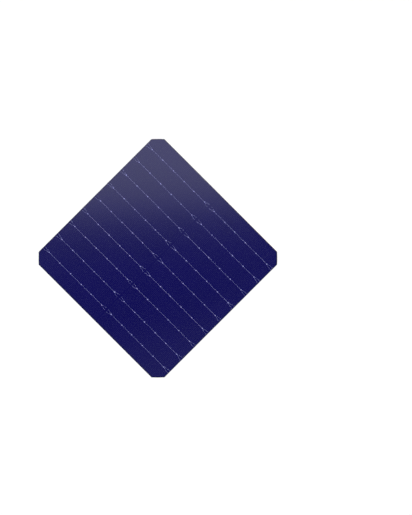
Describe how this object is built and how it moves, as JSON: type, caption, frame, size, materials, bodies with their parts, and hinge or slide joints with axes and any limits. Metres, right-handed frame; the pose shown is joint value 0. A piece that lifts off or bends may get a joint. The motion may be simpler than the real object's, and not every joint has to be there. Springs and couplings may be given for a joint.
{
  "type": "solar cell",
  "caption": "Thin square silicon solar cell with clipped corners: silver fingers and fork-ended busbars printed on its blue front, aluminium with solder pads on its rear.",
  "frame": {"origin": "centre of the cell, on the plane of the rear aluminium's lower face", "axes": "+Z out of the front (sunny) face, Y along the busbars, X along the fingers and the cutting line"},
  "size_m": [0.166, 0.166, 0.0002],
  "materials": {
    "coated_silicon": "dark blue anti-reflective coating, smooth satin",
    "front_silver": "fired silver paste, fine-grained",
    "rear_aluminium": "fired aluminium paste, matte grey",
    "rear_silver": "fired silver paste, pale and matte"
  },
  "bodies": {
    "root": {"silicon_wafer": "coated_silicon", "front_fingers": "front_silver", "rear_aluminium_field": "rear_aluminium", "front_busbar_1": "front_silver", "front_busbar_2": "front_silver", "front_busbar_3": "front_silver", "front_busbar_4": "front_silver", "front_busbar_5": "front_silver", "front_busbar_6": "front_silver", "front_busbar_7": "front_silver", "front_busbar_8": "front_silver", "front_busbar_9": "front_silver", "rear_pad_row_1": "rear_silver", "rear_pad_row_2": "rear_silver", "rear_pad_row_3": "rear_silver", "rear_pad_row_4": "rear_silver", "rear_pad_row_5": "rear_silver", "rear_pad_row_6": "rear_silver", "rear_pad_row_7": "rear_silver", "rear_pad_row_8": "rear_silver", "rear_pad_row_9": "rear_silver"}
  },
  "joints": []
}
